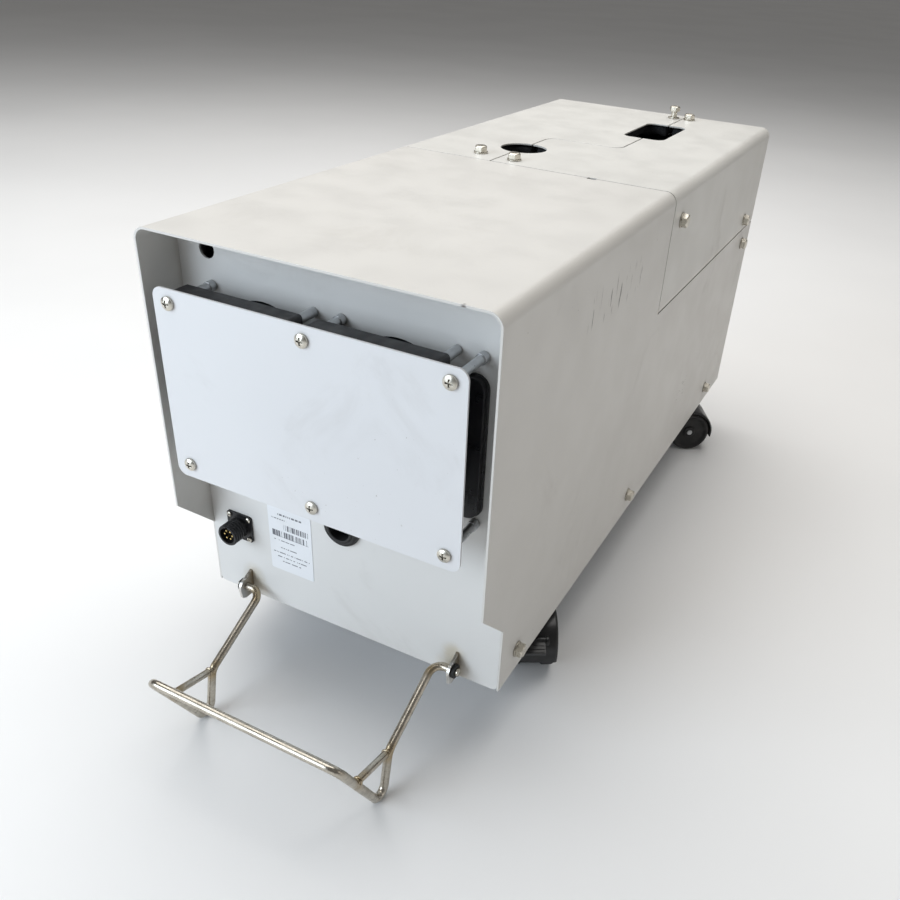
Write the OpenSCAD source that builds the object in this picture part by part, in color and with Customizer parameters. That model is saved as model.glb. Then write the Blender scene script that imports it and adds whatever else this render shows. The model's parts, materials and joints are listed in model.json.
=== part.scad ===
// Ventilated machine housing on four swivel casters: a folded sheet hood with a
// visor at the front, two axial fans behind a stand-off baffle plate, split rear
// covers with two hose ports, and a wire bail that folds down to the floor.
// Millimetres. X across, Y from front to back, Z up, floor at Z = 0.

/* [Housing] */
// Outside width of the hood
hood_w = 330; // [290:1:380]
// Length of the hood from visor edge to rear edge
hood_l = 850; // [780:1:1000]
// Height of the hood above its own lower edge
hood_h = 385; // [350:1:450]
// Sheet thickness of hood, covers and walls
sheet = 2; // [1.5:0.1:2.5]
// Outside bend radius along the two roof edges
bend_r = 12; // [8:0.5:18]
// Height of the hood's lower edge above the floor
clear_h = 75; // [70:1:90]
// Depth of the visor in front of the front wall
visor_d = 44; // [40:1:60]
// Height of the visor cheeks' lower front corner above the hood's lower edge
cheek_h = 117; // [90:1:140]

/* [Rear covers] */
// Distance from visor edge to the seam in front of the rear covers
seam_y = 397; // [360:1:450]
// Height of the side seam above the hood's lower edge
seam_z = 256; // [230:1:280]
// Width of the gap along every seam
seam_gap = 1.8; // [0.6:0.1:2.4]
// Radius of the round hose port
port_r = 27; // [20:0.5:32]
// Width of the long hose port
slot_w = 54; // [40:1:60]
// Length of the long hose port
slot_l = 114; // [90:1:130]

/* [Baffle and fans] */
// Width of the baffle plate
plate_w = 290; // [260:1:310]
// Height of the baffle plate
plate_h = 177; // [160:1:180]
// Gap from the front wall to the back of the baffle plate
standoff_l = 50; // [46:1:60]
// Side of the square fan frames
fan_s = 119; // [115:0.5:120]
// Depth of the fan frames
fan_d = 25.4; // [22:0.2:32]

/* [Bail] */
// Diameter of the bail rod
rod_d = 8; // [6:0.5:9]
// Distance between the bail's two side frames
bail_w = 203; // [180:1:206]
// Reach of the bail's cross bar in front of its pivots
bail_reach = 153; // [120:1:156]

/* [Casters] */
// Radius of the caster wheels
wheel_r = 30; // [25:0.5:30]
// Offset of the wheel axle behind the swivel axis
trail = 22; // [16:1:24]
// Distance of the swivel axes from the middle plane
caster_x = 130; // [100:1:130]
// Distance of the front swivel axes from the visor edge
caster_y1 = 195; // [150:1:230]
// Distance of the rear swivel axes from the rear edge
caster_back = 112; // [90:1:250]

/* [Hidden] */
$fn = 64;
eps = 0.01;
W = hood_w; L = hood_l; H = hood_h; T = sheet; R = bend_r; zb = clear_h;
xi = W/2 - T;                 // inner face of the hood's sides
wy = visor_d;                 // outer face of the front wall
py = wy - standoff_l - T;     // front face of the baffle plate
pz = zb + 253.5;              // centre height of the baffle plate
ry = L - 4;                   // inner face of the rear wall
flange_d = 72;                // depth of the rear wall's side flanges
rod_r = rod_d/2;
// each fan hangs on one of the plate's upper posts by its upper left corner hole
fan_hole = 52.5;
fan_z = zb + 330 - fan_hole;
fan_x = [-129 + fan_hole, 3 + fan_hole];
fan_y0 = py + T;
fan_back = fan_y0 + fan_d;
fan_corners = [[1, 1], [1, -1], [-1, -1]];
inlet_r = 49;
// bail side frame in its own plane: forward distance and height above the floor
piv = [-(wy - 10), zb + 14.5];
elbow = [wy + 1, zb - 28];
foot_r = 9;
foot = [61, rod_r + foot_r];
bar = [bail_reach + piv[0], zb + 21];
ear_x = 121; ear_t = 3;
// middle of the overall length, used as the origin
y_lo = -(bar[0] + rod_r);
y_mid = (y_lo + L)/2;
// seam between the two rear covers
s1 = -48; s2 = 44; jog_y = seam_y + 166; jog_r = 14;
port = [-47, seam_y + 87];
slotp = [43.3, L - 147];
// bolts on the covers: [x, y, raised]
top_bolts = [[-74, seam_y + 30, 0], [-28.5, seam_y + 22, 0], [32, L - 28, 8], [54, L - 26, 0]];
side_cover_bolts = [[seam_y + 33, seam_z + 95], [L - 63, seam_z + 16]];
side_hood_bolts = [[80, 25], [395, 25], [L - 100, 25], [L - 45, seam_z - 22]];
plate_bolts = [for (x = [-129, 3, 131], z = [330, 179]) [x, zb + z]];
iso_x = 80; iso_y = [260, L - 210];
caster_y2 = L - caster_back;
casters = [[-caster_x, caster_y1, 150], [caster_x, caster_y1, -150],
           [-caster_x, caster_y2, 60], [caster_x, caster_y2, -60]];

// ---- helpers ----
module seat() translate([0, -y_mid, 0]) children();
// drawing (x, z) pushed along Y from y0 over t
module xz(y0, t) translate([0, y0 + t, 0]) rotate([90, 0, 0]) linear_extrude(t) children();
// drawing (y, z) pushed along X from x0 over t
module yz(x0, t) translate([x0, 0, 0]) rotate([90, 0, 90]) linear_extrude(t) children();
module cx(x, y, z, r, t) translate([x, y, z]) rotate([0, 90, 0]) cylinder(r = r, h = t);
module cy(x, y, z, r, t) translate([x, y, z]) rotate([-90, 0, 0]) cylinder(r = r, h = t);
module cz(x, y, z, r, t) translate([x, y, z]) cylinder(r = r, h = t);
module rrect(w, h, r) {
  square([w - 2*r, h], center = true);
  square([w, h - 2*r], center = true);
  for (x = [-1, 1], y = [-1, 1]) translate([x*(w/2 - r), y*(h/2 - r)]) circle(r);
}
// outline open at the bottom, with round upper corners
module arch2(hw, z0, z1, r) {
  translate([-hw, z0]) square([2*hw, z1 - r - z0]);
  translate([-hw + r, z0]) square([2*(hw - r), z1 - z0]);
  for (s = [-1, 1]) translate([s*(hw - r), z1 - r]) circle(r);
}
module arch_shell2(hw, z0, z1, r, t) difference() {
  arch2(hw, z0, z1, r);
  arch2(hw - t, z0 - 1, z1 - t, r - t);
}
module obround2(w, l) {
  square([w, l - w], center = true);
  for (s = [-1, 1]) translate([0, s*(l - w)/2]) circle(w/2);
}
module both() { children(); mirror([1, 0, 0]) children(); }

// ---- base and walls ----
module base_tray() color([0.80, 0.81, 0.82]) seat() difference() {
  union() {
    translate([-xi, wy + T, zb]) cube([2*xi, ry - wy - T, T]);
    both() translate([xi - T, wy + T + 21, zb]) cube([T, ry - wy - T - 22 - flange_d, 40]);
  }
  for (c = casters, x = [-21, 21], y = [-21, 21]) cz(c[0] + x, c[1] + y, zb - 1, 3.3, T + 2);
  for (x = [-iso_x, iso_x], y = iso_y) cz(x, y, zb - 1, 4.2, T + 2);
  both() for (b = side_hood_bolts) if (b[1] < 40) cx(xi - T - 1, b[0], zb + b[1], 4.2, T + 2);
}

module wall_outline2() translate([0, zb]) difference() {
  arch2(xi, 0, H - T, R + 1);
  for (s = [-1, 1]) translate([s*xi, 0]) difference() {
    square(10, center = true);
    translate([-s*5, 5]) circle(5);
    translate([-s*10, 0]) square([10, 20], center = true);
    translate([0, 10]) square([20, 10], center = true);
  }
}

module front_wall() color([0.86, 0.87, 0.88]) seat() difference() {
  union() {
    xz(wy, T) wall_outline2();
    both() translate([xi - T, wy + T - eps, zb + T + 0.3]) cube([T, 20, H - T - R - 20]);
    translate([-xi + R + 8, wy + T - eps, zb + H - 2*T]) cube([2*(xi - R - 8), 20, T]);
  }
  for (x = fan_x) {
    cy(x, wy - 1, fan_z, inlet_r, T + 2);
    for (c = fan_corners) cy(x + c[0]*fan_hole, wy - 1, fan_z + c[1]*fan_hole, 2.3, T + 2);
  }
  for (p = plate_bolts) cy(p[0], wy - 1, p[1], 3.1, T + 2);
  cy(-131.7, wy - 1, zb + 360.5, 8, T + 2);
  cy(-128, wy - 1, zb + 81, 11.3, T + 2);
  for (i = [-1, 1], j = [-1, 1]) cy(-128 + i*11.5, wy - 1, zb + 81 + j*11.5, 1.6, T + 2);
  cy(-4.7, wy - 1, zb + 124.5, 14, T + 2);
}

module rear_wall() color([0.80, 0.81, 0.82]) seat() difference() {
  union() {
    xz(ry, T) wall_outline2();
    both() translate([xi - T, ry - flange_d, zb + T + 0.3]) cube([T, flange_d + eps, H - T - R - 20]);
    translate([-xi + R + 8, ry - 45, zb + H - 2*T]) cube([2*(xi - R - 8), 45 + eps, T]);
  }
  for (i = [0:7], s = [-1, 1]) translate([s*58, ry - 1, zb + 120 + i*16])
    rotate([-90, 0, 0]) linear_extrude(T + 2) rotate(90) obround2(6, 96);
  for (b = top_bolts) if (b[1] > 700) cz(b[0], b[1], zb + H - 2*T - 1, 4.2, T + 2);
  both() {
    cx(xi - T - 1, side_cover_bolts[1][0], zb + side_cover_bolts[1][1], 4.2, T + 2);
    cx(xi - T - 1, side_hood_bolts[3][0], zb + side_hood_bolts[3][1], 4.2, T + 2);
  }
}

module hood() color([0.82, 0.82, 0.80]) seat() difference() {
  xz(0, L) translate([0, zb]) arch_shell2(W/2, 0, H, R, T);
  translate([-W, seam_y, zb + seam_z]) cube([2*W, L, H]);
  yz(-W, 2*W) polygon([[-5, zb - 5], [wy, zb - 5], [wy, zb + cheek_h - wy], [0, zb + cheek_h], [-5, zb + cheek_h + 5]]);
  both() for (b = side_hood_bolts) cx(xi - 1, b[0], zb + b[1], 4.5, T + 2);
  translate([72, seam_y, zb + H - T - 1]) linear_extrude(T + 2) rrect(10, 7, 1.5);
}

module seam_arch() color([0.80, 0.81, 0.82]) seat() difference() {
  xz(seam_y - 17, 60) translate([0, zb]) arch_shell2(xi, seam_z - 18, H - T, R + 2, T);
  for (b = top_bolts) if (b[1] < 700) cz(b[0], b[1], zb + H - 2*T - 1, 4.2, T + 2);
  both() cx(xi - T - 1, side_cover_bolts[0][0], zb + side_cover_bolts[0][1], 4.2, T + 2);
}

module lap_strips() color([0.80, 0.81, 0.82]) seat() both()
  translate([xi - 1.5, seam_y + 48, zb + seam_z - 12]) cube([1.5, ry - flange_d - 1 - seam_y - 48, 24]);

// ---- rear covers ----
function turn(c, r, a0, a1) = [for (i = [0:6]) c + r*[cos(a0 + (a1 - a0)*i/6), sin(a0 + (a1 - a0)*i/6)]];
// seam line from front to back, moved d to +X and -Y
function seam_line(d) = concat([[s1 + d, seam_y - 5]],
  turn([s1 + d + jog_r, jog_y - d - jog_r], jog_r, 180, 90),
  turn([s2 + d - jog_r, jog_y - d + jog_r], jog_r, 270, 360),
  [[s2 + d, L + 5]]);

module cover_shape(side) difference() {
  intersection() {
    xz(seam_y + seam_gap, L - seam_y - seam_gap) translate([0, zb]) difference() {
      arch_shell2(W/2, seam_z + seam_gap, H, R, T);
    }
    translate([0, 0, zb]) linear_extrude(H + 5)
      polygon(concat(seam_line(side*seam_gap/2), [[side*W, L + 5], [side*W, seam_y - 5]]));
  }
  cz(port[0], port[1], zb + H - T - 1, port_r, T + 2);
  translate([slotp[0], slotp[1], zb + H - T - 1]) linear_extrude(T + 2) rrect(slot_w, slot_l, 12);
  for (b = top_bolts) cz(b[0], b[1], zb + H - T - 1, 4.5, T + 2);
  both() for (b = side_cover_bolts) cx(xi - 1, b[0], zb + b[1], 4.5, T + 2);
  translate([72, seam_y, zb + H - T - 1]) linear_extrude(T + 2) rrect(10, 7, 1.5);
}
module cover_left() color([0.83, 0.83, 0.81]) seat() cover_shape(-1);
module cover_right() color([0.83, 0.83, 0.81]) seat() cover_shape(1);

// ---- hex bolts and washers ----
module hex_bolt(up = 0) translate([0, 0, up]) {
  translate([0, 0, -13]) cylinder(r = 4, h = 15);
  intersection() {
    translate([0, 0, 1.6]) cylinder(r = 7.5, h = 6.4, $fn = 6);
    union() {
      translate([0, 0, 1.6]) cylinder(r = 7.6, h = 4.6);
      translate([0, 0, 6.2 - eps]) cylinder(r1 = 7.6, r2 = 5.6, h = 1.8);
    }
  }
}
module washer() difference() { cylinder(r = 8, h = 1.6); translate([0, 0, -1]) cylinder(r = 4.3, h = 4); }
module on_top(b) translate([b[0], b[1], zb + H]) children();
module on_side(b) both() translate([W/2, b[0], zb + b[1]]) rotate([0, 90, 0]) children();

module cover_bolts() color([0.72, 0.71, 0.68]) seat() {
  for (b = top_bolts) on_top(b) hex_bolt(b[2]);
  for (b = side_cover_bolts) on_side(b) hex_bolt();
}
module hood_bolts() color([0.72, 0.71, 0.68]) seat() for (b = side_hood_bolts) on_side(b) hex_bolt();
module bolt_washers() color([0.66, 0.65, 0.62]) seat() {
  for (b = top_bolts) on_top(b) washer();
  for (b = side_cover_bolts) on_side(b) washer();
  for (b = side_hood_bolts) on_side(b) washer();
}

// ---- noise lining ----
foam_t = 15; fg = 0.3;
module foam_hood() color([0.10, 0.10, 0.11]) seat() {
  both() yz(xi - fg - foam_t, foam_t) polygon([[wy + 26, zb + 45], [ry - flange_d - 4, zb + 45], [ry - flange_d - 4, zb + seam_z - 21],
    [seam_y - 22, zb + seam_z - 21], [seam_y - 22, zb + H - 24], [wy + 26, zb + H - 24]]);
  translate([-xi + 20, wy + 26, zb + H - T - fg - foam_t]) cube([2*xi - 40, seam_y - wy - 48, foam_t]);
}
module foam_cover(side) {
  difference() {
    translate([0, 0, zb + H - T - fg - foam_t]) linear_extrude(foam_t) intersection() {
      polygon(concat(seam_line(side*1.5), [[side*W, L + 5], [side*W, seam_y - 5]]));
      translate([-xi + 20, seam_y + 52]) square([2*xi - 40, ry - 50 - seam_y - 52]);
    }
    cz(port[0], port[1], zb + H - 25, port_r + 3, 30);
    translate([slotp[0], slotp[1], zb + H - 25]) linear_extrude(30) rrect(slot_w + 6, slot_l + 6, 15);
  }
  translate([side*(xi - fg - foam_t/2) - foam_t/2, seam_y + 52, zb + seam_z + 16])
    cube([foam_t, ry - flange_d - 4 - seam_y - 52, H - seam_z - 40]);
}
module foam_cover_left() color([0.10, 0.10, 0.11]) seat() foam_cover(-1);
module foam_cover_right() color([0.10, 0.10, 0.11]) seat() foam_cover(1);
module foam_rear() color([0.10, 0.10, 0.11]) seat() difference() {
  translate([-xi + 20, ry - fg - foam_t, zb + 45]) cube([2*xi - 40, foam_t, H - 70]);
  translate([-112, ry - 30, zb + 108]) cube([224, 40, 136]);
}

// ---- seats for the machine inside ----
module isolator_pads() color([0.09, 0.09, 0.09]) seat() for (x = [-iso_x, iso_x], y = iso_y) difference() {
  cz(x, y, zb + T, 19, 25);
  cz(x, y, zb + T + 10, 8.3, 20);
}
module isolator_caps() color([0.66, 0.66, 0.67]) seat() for (x = [-iso_x, iso_x], y = iso_y) difference() {
  union() { cz(x, y, zb + T + 25, 20, 3); cz(x, y, zb + T + 12, 8, 14); }
  cz(x, y, zb + T + 11, 4, 20);
}

// ---- baffle plate ----
module baffle_plate() color([0.86, 0.87, 0.90]) seat() difference() {
  xz(py, T) translate([0, pz]) rrect(plate_w, plate_h, 9);
  for (p = plate_bolts) cy(p[0], py - 1, p[1], 2.8, T + 2);
}
// distance from the plate to the front end of a post: the depth of a fan, or none
function lift(p) = p[0] < 100 && p[1] > pz ? fan_d : 0;
module pan_head(r, h, slot) difference() {
  union() {
    cylinder(r = r, h = h*0.45);
    intersection() { cylinder(r = r, h = h); translate([0, 0, h - r*1.75]) sphere(r = r*1.75); }
  }
  for (a = [0, 90]) rotate(a) translate([-r*0.55, -slot/2, h*0.45]) cube([r*1.1, slot, h]);
}
module baffle_screws() color([0.80, 0.80, 0.80]) seat() for (p = plate_bolts) translate([p[0], py, p[1]]) {
  rotate([90, 0, 0]) pan_head(6, 4, 1.3);
  rotate([-90, 0, 0]) cylinder(r = 2.5, h = T + 10 + lift(p));
}
module standoffs() color([0.62, 0.62, 0.62]) seat() for (p = plate_bolts) difference() {
  union() {
    cy(p[0], py + T + lift(p), p[1], 3.8, standoff_l - lift(p));
    cy(p[0], wy - 7, p[1], 4.8, 7);
    cy(p[0], wy - 1, p[1], 2.9, T + 9);
  }
  cy(p[0], py + T - 1 + lift(p), p[1], 2.55, 14);
}
module standoff_nuts() color([0.66, 0.66, 0.66]) seat() for (p = plate_bolts) translate([p[0], wy + T + (lift(p) > 0 ? 2.43 : 0), p[1]]) rotate([-90, 0, 0])
  difference() { cylinder(r = 5.8, h = 5, $fn = 6); translate([0, 0, -1]) cylinder(r = 2.98, h = 8); }

// ---- fans ----
module fan_spacers() color([0.62, 0.62, 0.62]) seat() for (x = fan_x, c = fan_corners) difference() {
  cy(x + c[0]*fan_hole, fan_back, fan_z + c[1]*fan_hole, 4.2, wy - fan_back);
  cy(x + c[0]*fan_hole, fan_back - 1, fan_z + c[1]*fan_hole, 2.3, wy - fan_back + 2);
}
// turned so that its own +Y points down
module fan_frame(x) translate([x, fan_y0, fan_z]) rotate([-90, 0, 0]) {
  difference() {
    linear_extrude(fan_d) rrect(fan_s, fan_s, 3.5);
    translate([0, 0, -1]) cylinder(r = 55.5, h = fan_d + 2);
    for (c = fan_corners) translate([c[0]*fan_hole, -c[1]*fan_hole, -1]) cylinder(r = 2.05, h = fan_d + 2);
    translate([-fan_hole, -fan_hole, -1]) cylinder(r = 2.6, h = fan_d + 2);
  }
  cylinder(r = 30, h = 8);
  translate([0, 0, 7]) cylinder(r = 3, h = fan_d - 13);
  for (a = [20, 110, 200, 290]) rotate(a) translate([28, -3, 0]) cube([28.6, 6, 5]);
}
module fan_rotor(x) translate([x, fan_y0, fan_z]) rotate([-90, 0, 0]) difference() {
  union() {
    translate([0, 0, 8.6]) cylinder(r = 31, h = fan_d - 11);
    intersection() {
      for (a = [0:6]) rotate(a*360/7) translate([42, 0, fan_d/2 + 1]) rotate([38, 0, 0]) cube([30, 30, 2], center = true);
      translate([0, 0, 9]) difference() { cylinder(r = 54, h = fan_d - 12); translate([0, 0, -1]) cylinder(r = 30, h = fan_d); }
    }
  }
  cylinder(r = 3.06, h = fan_d - 5.4);
}
// wire guard: four rings welded to four radial wires, each with a loop under its screw
module fan_guard(x) translate([x, wy + T + 1.2, fan_z]) rotate([-90, 0, 0]) {
  for (r = [14, 28, 42, 54]) translate([0, 0, 1.5]) rotate_extrude() translate([r, 0]) circle(0.9);
  for (a = [45:90:315]) rotate(a) {
    translate([10, 0, 0]) rotate([0, 90, 0]) cylinder(r = 1.2, h = fan_hole*sqrt(2) - 4.2 - 10);
    translate([fan_hole*sqrt(2), 0, 0]) rotate_extrude() translate([4.2, 0]) circle(1.1);
  }
}
module fan_frame_left() color([0.16, 0.16, 0.17]) seat() fan_frame(fan_x[0]);
module fan_frame_right() color([0.16, 0.16, 0.17]) seat() fan_frame(fan_x[1]);
module fan_rotor_left() color([0.11, 0.11, 0.12]) seat() fan_rotor(fan_x[0]);
module fan_rotor_right() color([0.11, 0.11, 0.12]) seat() fan_rotor(fan_x[1]);
module fan_guard_left() color([0.68, 0.68, 0.69]) seat() fan_guard(fan_x[0]);
module fan_guard_right() color([0.68, 0.68, 0.69]) seat() fan_guard(fan_x[1]);
module fan_screws() color([0.72, 0.72, 0.72]) seat() for (x = fan_x, c = fan_corners)
  translate([x + c[0]*fan_hole, wy + T + 2.43, fan_z + c[1]*fan_hole]) rotate([-90, 0, 0]) {
    translate([0, 0, fan_back - 10 - wy - T - 2.43]) cylinder(r = 2, h = wy + T + 4 - fan_back + 10);
    pan_head(5, 3.2, 1);
  }
module wiring_cover() color([0.05, 0.05, 0.06]) seat() {
  xz(wy - 8, 8) translate([125, zb + 250.5]) rrect(22, 127, 10.5);
  xz(wy - 3, 3) translate([125.3, zb + 250.5]) rrect(24.6, 129.6, 12);
}

// ---- connector, grommet, label ----
module connector_shell() color([0.10, 0.10, 0.11]) seat() difference() {
  union() {
    xz(wy - 2, 2) translate([-128, zb + 81]) rrect(30.2, 30.2, 3);
    cy(-128, wy - 21, zb + 81, 10.6, 20);
    for (i = [0:4]) cy(-128, wy - 20 + i*3, zb + 81, 11.3, 1.6);
    cy(-128, wy - 1, zb + 81, 10.8, 16);
  }
  cy(-128, wy - 22, zb + 81, 8.6, 17);
  cy(-128, wy + 6, zb + 81, 7, 12);
  translate([-129.2, wy - 22, zb + 88]) cube([2.4, 12, 3]);
  for (i = [-1, 1], j = [-1, 1]) cy(-128 + i*11.5, wy - 3, zb + 81 + j*11.5, 1.6, 4);
}
pins = [for (a = [0:60:300]) 4.6*[cos(a), sin(a)]];
module connector_insert() color([0.13, 0.13, 0.13]) seat() difference() {
  cy(-128, wy - 13, zb + 81, 8.5, 8);
  for (p = pins) cy(-128 + p[0], wy - 14, zb + 81 + p[1], 0.95, 10);
}
module connector_pins() color([0.75, 0.60, 0.30]) seat() for (p = pins) cy(-128 + p[0], wy - 19, zb + 81 + p[1], 0.9, 13.9);
module connector_screws() color([0.78, 0.78, 0.78]) seat() for (i = [-1, 1], j = [-1, 1])
  translate([-128 + i*11.5, wy - 2, zb + 81 + j*11.5]) { rotate([90, 0, 0]) pan_head(2.7, 1.9, 0.7); rotate([-90, 0, 0]) cylinder(r = 1.5, h = 8); }
module grommet() color([0.05, 0.05, 0.05]) seat() translate([-4.7, wy, zb + 124.5]) rotate([-90, 0, 0]) rotate_extrude()
  polygon([[11, -5.5], [13, -6.5], [14.5, -5], [15.5, -4.6], [17, -4.8], [19, -3.2], [19.3, 0], [13.7, 0], [13.7, T], [17.5, T], [17, T + 3], [11, T + 4]]);
module label() color([0.92, 0.92, 0.91]) seat() xz(wy - 0.4, 0.4) translate([-66.5, zb + 82.5]) rrect(51, 75, 2);

// ---- bail ----
module ear(side) difference() {
  yz(side*ear_x - ear_t/2, ear_t) union() {
    translate([-piv[0], piv[1]]) circle(9.5);
    polygon([[wy, zb + 1], [wy, zb + 29], [-piv[0] - 1, piv[1] + 9.4], [-piv[0] - 9, piv[1] + 2], [-piv[0] - 8, zb + 4], [-piv[0] - 3, zb + 1]]);
  }
  cx(side*ear_x - 5, -piv[0], piv[1], rod_r + 0.08, 10);
}
module ear_left() color([0.80, 0.80, 0.80]) seat() ear(-1);
module ear_right() color([0.80, 0.80, 0.80]) seat() ear(1);

function ang(a, b) = atan2(b[1] - a[1], b[0] - a[0]);
function dist(a, b) = norm(b - a);
function dirv(a) = [cos(a), sin(a)];
function left(a) = [-sin(a), cos(a)];
a1 = ang(piv, elbow);
a2 = ang(elbow, foot) - asin(foot_r/dist(elbow, foot));
a3 = ang(foot, bar) + asin(foot_r/dist(foot, bar));
eb_r = 14;
eb_t = eb_r*tan((a1 - a2)/2);
t2 = foot - foot_r*left(a2);
t3 = foot - foot_r*left(a3);
end_r = 12; bar_r = 13;
strut = bar - 42*dirv(a3);
// rods run a hair into each bend, and the bends are a hair slimmer, so that they join cleanly
lapr = 0.1; bend_tube = rod_r - 0.03;
// straight rod in the side plane x from point p over length l at angle a
module rod_in(x, p, a, l, r = rod_r) translate([x, -p[0], p[1]]) rotate([90 - a, 0, 0]) translate([0, 0, -lapr]) cylinder(r = r, h = l + 2*lapr);
// bent rod in the side plane: centre c, radius r, from angle b0 to b1 around X
module bend_in(x, c, r, b0, b1) translate([x, -c[0], c[1]]) rotate([90, 0, -90]) rotate([0, 0, b0])
  rotate_extrude(angle = b1 - b0) translate([r, 0]) circle(bend_tube);
// bend out of the side plane, drawn in the plane of X and the rod's direction a
module corner(x, p, a, c, r, b0) translate([x, -p[0], p[1]]) rotate([-a, 0, 0]) translate([c[0], c[1], 0]) rotate([0, 0, b0])
  rotate_extrude(angle = 90) translate([r, 0]) circle(bend_tube);
module bail_side() {
  x = bail_w/2;
  cx(x + end_r - lapr, -piv[0], piv[1], rod_r, ear_x + 8 - x - end_r + lapr);
  corner(x, piv, a1, [end_r, -end_r], end_r, 90);
  rod_in(x, piv + end_r*dirv(a1), a1, dist(piv, elbow) - end_r - eb_t);
  bend_in(x, elbow + eb_t*dirv(a2) - eb_r*left(a2), eb_r, 90 + a2, 90 + a1);
  rod_in(x, elbow + eb_t*dirv(a2), a2, dist(elbow, t2) - eb_t);
  bend_in(x, foot, foot_r, -90 + a2, -90 + a3);
  rod_in(x, t3, a3, dist(t3, bar) - bar_r);
  corner(x, bar, a3, [-bar_r, bar_r], bar_r, -90);
  // welded strut that closes the triangle
  rod_in(x, elbow + 1.5*dirv(ang(elbow, strut)), ang(elbow, strut), dist(elbow, strut) - 1.5, rod_r - 0.45);
}
module bail() color([0.62, 0.58, 0.52]) seat() {
  both() bail_side();
  cx(-bail_w/2 + bar_r - lapr, -bar[0], bar[1], rod_r, bail_w - 2*bar_r + 2*lapr);
}
module rod_retainers() color([0.07, 0.07, 0.07]) seat() both() difference() {
  cx(ear_x + ear_t/2 + 0.3, -piv[0], piv[1], 7, 3);
  cx(ear_x - 2, -piv[0], piv[1], rod_r + 0.03, 12);
}

// ---- casters: drawn around the swivel axis, wheel axle offset along +Y ----
wz = wheel_r;
cover_r = wheel_r + 5;
top_z = zb - 3;
hub_top = zb - 9.4;
module at_caster(i) translate([casters[i][0], casters[i][1], 0]) rotate([0, 0, casters[i][2]]) children();
module caster_plates() color([0.66, 0.66, 0.67]) seat() for (i = [0:3]) translate([casters[i][0], casters[i][1], 0]) {
  difference() {
    translate([0, 0, top_z]) linear_extrude(3) rrect(58, 58, 6);
    for (x = [-21, 21], y = [-21, 21]) cz(x, y, top_z - 1, 3.3, 6);
    cz(0, 0, top_z - 1, 5.52, 10);
  }
  difference() { cz(0, 0, zb - 9, 19, 6.5); cz(0, 0, zb - 10, 5.52, 10); }
}
module caster_stems() color([0.66, 0.66, 0.67]) seat() for (i = [0:3]) translate([casters[i][0], casters[i][1], 0])
  cz(0, 0, 42, 5.5, zb - 42);
module caster_bolts() color([0.66, 0.66, 0.67]) seat() for (i = [0:3], x = [-21, 21], y = [-21, 21])
  translate([casters[i][0] + x, casters[i][1] + y, zb]) {
    translate([0, 0, -4]) cylinder(r = 3, h = T + 10);
    translate([0, 0, -7]) cylinder(r = 5.6, h = 4, $fn = 6);
    translate([0, 0, T]) cylinder(r = 5.6, h = 5, $fn = 6);
  }
ped = [trail + 33.5*cover_r/35, wz + 24*cover_r/35];
module fork(brake) difference() {
  union() {
    // web between the wheels and the swivel hub
    cx(-10, trail, wz, wheel_r - 5, 20);
    cz(0, 0, 38, 10.2, hub_top - 38);
    translate([-10, 0, 38]) cube([20, trail, hub_top - 38 - 1.5]);
    // round guard over both wheels
    difference() {
      cx(-26, trail, wz, cover_r, 52);
      cx(-27, trail, wz, cover_r - 3, 54);
      translate([-30, trail - 60, -40]) cube([60, 120, 40 + wz - 6]);
    }
    difference() {
      cx(-10, trail, wz, cover_r - 1, 20);
      translate([-30, trail - 60, -40]) cube([60, 120, 40 + wz - 6]);
    }
    if (brake) for (s = [-1, 1]) translate([s*13 - 1.75, 0, 0]) {
      cx(0, ped[0], ped[1], 5, 3.5);
      translate([0, trail, wz]) rotate([atan2(ped[1] - wz, ped[0] - trail), 0, 0]) translate([0, cover_r - 2, -5]) cube([3.5, 8, 10]);
    }
    if (brake) cx(-14, ped[0], ped[1], 2.5, 28);
  }
  cz(0, 0, 37, 5.56, 60);
  cx(-30, trail, wz, 4, 60);
}
module caster_fork_fl() color([0.05, 0.05, 0.06]) seat() at_caster(0) fork(true);
module caster_fork_fr() color([0.05, 0.05, 0.06]) seat() at_caster(1) fork(true);
module caster_fork_rl() color([0.05, 0.05, 0.06]) seat() at_caster(2) fork(false);
module caster_fork_rr() color([0.05, 0.05, 0.06]) seat() at_caster(3) fork(false);
module axle() cx(-25.5, trail, wz, 3.94, 51);
module caster_axle_fl() color([0.66, 0.66, 0.67]) seat() at_caster(0) axle();
module caster_axle_fr() color([0.66, 0.66, 0.67]) seat() at_caster(1) axle();
module caster_axle_rl() color([0.66, 0.66, 0.67]) seat() at_caster(2) axle();
module caster_axle_rr() color([0.66, 0.66, 0.67]) seat() at_caster(3) axle();
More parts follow.
